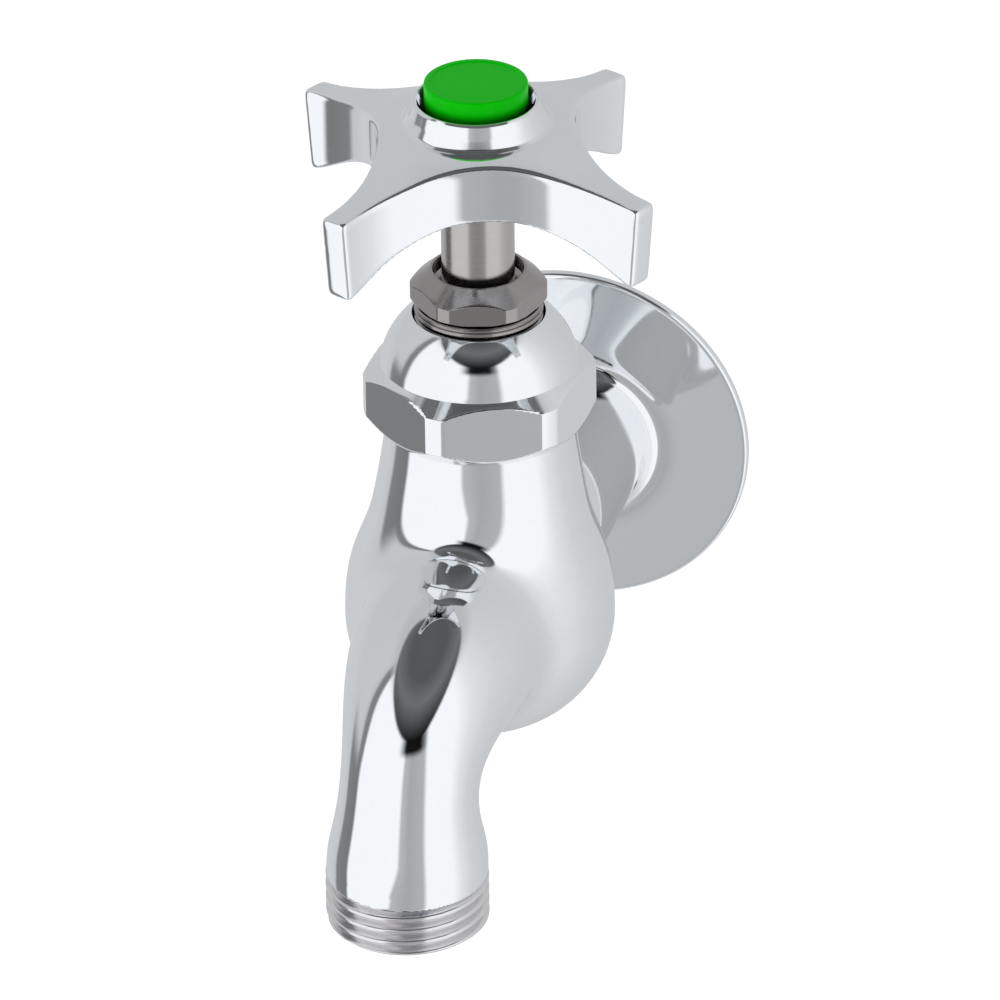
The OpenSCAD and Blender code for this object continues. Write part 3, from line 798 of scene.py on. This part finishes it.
def build_floor():
    h = FLOOR_HALF
    mesh = bpy.data.meshes.new("floor")
    mesh.from_pydata([(-h, -h, FLOOR_Z), (h, -h, FLOOR_Z), (h, h, FLOOR_Z), (-h, h, FLOOR_Z)],
                     [], [(0, 1, 2, 3)])
    floor = bpy.data.objects.new("floor", mesh)
    bpy.context.scene.collection.objects.link(floor)
    material = bpy.data.materials.new("pale_floor")
    material.use_nodes = True
    n = Nodes(material.node_tree)
    speck = n.noise(n.add("TexCoord").outputs["Object"], 3.0)
    surface = n.add("BsdfPrincipled", {
        "Base Color": n.ramp(speck, (0.3, 0.90), (0.7, 0.92)), "Roughness": 0.8,
        "Emission Color": (1, 1, 1, 1), "Emission Strength": 0.55})
    n.add("OutputMaterial", {"Surface": surface.outputs[0]})
    mesh.materials.append(material)
    floor.visible_glossy = False


def linear(level):
    """light that a polished chrome face shows as an 8-bit grey level"""
    c = level / 255
    light = c / 12.92 if c <= 0.04045 else ((c + 0.055) / 1.055) ** 2.4
    return light / 0.87                 # what chrome reflects


def build_studio():
    """soft studio: white cards left and right of the camera, grey wall behind, and a dark
    room above the camera. Its directions are fixed, wherever the camera goes."""
    world = bpy.data.worlds.new("studio")
    bpy.context.scene.world = world
    world.use_nodes = True
    n = Nodes(world.node_tree)
    direction = n.add("TexCoord").outputs["Generated"]

    def along(vector):
        return n.add("VectorMath", {0: direction, 1: vector},
                     operation="DOT_PRODUCT").outputs["Value"]

    def rise(value, start, end):
        return n.add("MapRange", {"Value": value, "From Min": start, "From Max": end},
                     interpolation_type="SMOOTHSTEP").outputs["Result"]

    def mix(factor, a, b):
        return n.add("Mix", {"Factor": factor, "A": a, "B": b}, data_type="FLOAT").outputs[0]

    # azimuth from the front of the studio and height above the horizon, in degrees
    ahead = along((math.sin(AZIMUTH), -math.cos(AZIMUTH), 0))
    right = along((math.cos(AZIMUTH), math.sin(AZIMUTH), 0))
    degrees = 180 / math.pi
    az = n.maths("MULTIPLY", n.maths("ARCTAN2", right, ahead), degrees)
    el = n.maths("MULTIPLY", n.maths("ARCSINE", along((0, 0, 1))), degrees)
    leftward = n.maths("MULTIPLY", az, -1.0)
    downward = n.maths("MULTIPLY", el, -1.0)

    # the left card's edges lean outwards below the horizon
    low = n.maths("MINIMUM", n.maths("MAXIMUM", n.maths("ADD", el, 10.0), -45.0), 12.0)
    inner = n.maths("MULTIPLY", rise(leftward, 0.0, 8.0), rise(leftward, 85.0, 50.0))
    lean = n.maths("MULTIPLY", n.maths("MULTIPLY", low, 0.55), inner)
    turn = n.maths("DIVIDE", n.maths("ADD", n.maths("SUBTRACT", az, lean), 180.0), 360.0)

    def round_the_room(bands):
        """grey round the horizon, from (azimuth, 8-bit level) bands"""
        return n.grey(n.ramp(turn, *[((a + 180) / 360, linear(v)) for a, v in bands]))

    front = [(-90, 245), (-22, 246), (-18, 182), (0, 166), (21, 176), (27, 246), (66, 245),
             (82, 222), (102, 206), (130, 198), (180, 188)]
    below = round_the_room([(-180, 192), (-135, 200), (-121, 194), (-116, 126), (-94, 118)]
                           + front)
    above = round_the_room([(-180, 190), (-106, 196), (-101, 190), (-98, 128), (-92, 122),
                            (-89, 245)] + front[1:])
    light = mix(rise(el, -8.0, 8.0), below, above)
    light = mix(rise(el, 46.0, 58.0), light, linear(184))           # ceiling
    light = mix(rise(downward, 50.0, 75.0), light, linear(205))     # floor

    # the dark room over the camera widens upwards
    widening = n.maths("MAXIMUM", n.maths("SUBTRACT", el, 41.0), 0.0)
    half_width = n.maths("ADD", n.maths("MULTIPLY", widening, 5.0), 21.0)
    inside = rise(n.maths("SUBTRACT", half_width, n.maths("ABSOLUTE", az)), -9.0, 9.0)
    inside = n.maths("MULTIPLY", inside, rise(el, 29.0, 35.0))
    room = n.ramp(n.maths("DIVIDE", el, 90.0), (0.0, linear(20)), (0.46, linear(18)),
                  (0.52, linear(60)), (0.66, linear(108)), (0.8, linear(84)), (1.0, linear(88)))
    light = mix(inside, light, n.grey(room))

    cool = n.add("CombineColor", {"Red": light, "Green": n.maths("MULTIPLY", light, 1.012),
                                  "Blue": n.maths("MULTIPLY", light, 1.03)}).outputs[0]
    seen = n.add("LightPath").outputs["Is Camera Ray"]
    lit = n.add("Background", {"Color": cool, "Strength": 1.0}).outputs[0]
    backdrop = n.add("Background", {"Color": (1, 1, 1, 1), "Strength": 1.0}).outputs[0]
    both = n.add("MixShader", {"Fac": seen, 1: lit, 2: backdrop}).outputs[0]
    n.add("OutputWorld", {"Surface": both})


def build_key_light():
    """one large soft lamp over the camera's left shoulder"""
    light = bpy.data.lights.new("soft_key", "AREA")
    light.shape = "RECTANGLE"
    light.size, light.size_y = 1.4, 1.0
    light.energy = 9.0
    lamp = bpy.data.objects.new("soft_key", light)
    bpy.context.scene.collection.objects.link(lamp)
    lamp.location = ORIGIN + Vector((-0.7, -1.1, 1.6))
    lamp.rotation_euler = (ORIGIN - lamp.location).to_track_quat("-Z", "Y").to_euler()
    lamp.visible_glossy = False


def build_camera():
    """a long lens, turned a little up and right of the point that it is placed about"""
    data = bpy.data.cameras.new("camera")
    data.sensor_width = SENSOR
    data.lens = FOCAL * SENSOR
    data.clip_start, data.clip_end = 0.05, 60
    camera = bpy.data.objects.new("camera", data)
    bpy.context.scene.collection.objects.link(camera)
    ca, sa, ce, se = math.cos(AZIMUTH), math.sin(AZIMUTH), math.cos(ELEVATION), math.sin(ELEVATION)
    back = Vector((sa * ce, -ca * ce, se))
    right = Vector((ca, sa, 0))
    up = back.cross(right)
    spot = ORIGIN + back * DISTANCE
    x = OFF_RIGHT * math.cos(ROLL) + OFF_UP * math.sin(ROLL)
    y = -OFF_RIGHT * math.sin(ROLL) + OFF_UP * math.cos(ROLL)
    look = (-back + right * (x / FOCAL) + up * (y / FOCAL)).normalized()
    side = right * math.cos(ROLL) + up * math.sin(ROLL)
    side = (side - look * side.dot(look)).normalized()
    over = side.cross(look)
    camera.matrix_world = Matrix((
        (side.x, over.x, -look.x, spot.x), (side.y, over.y, -look.y, spot.y),
        (side.z, over.z, -look.z, spot.z), (0, 0, 0, 1)))
    bpy.context.scene.camera = camera


build_floor()
build_studio()
build_key_light()
build_camera()
bpy.context.scene.view_settings.view_transform = "Standard"
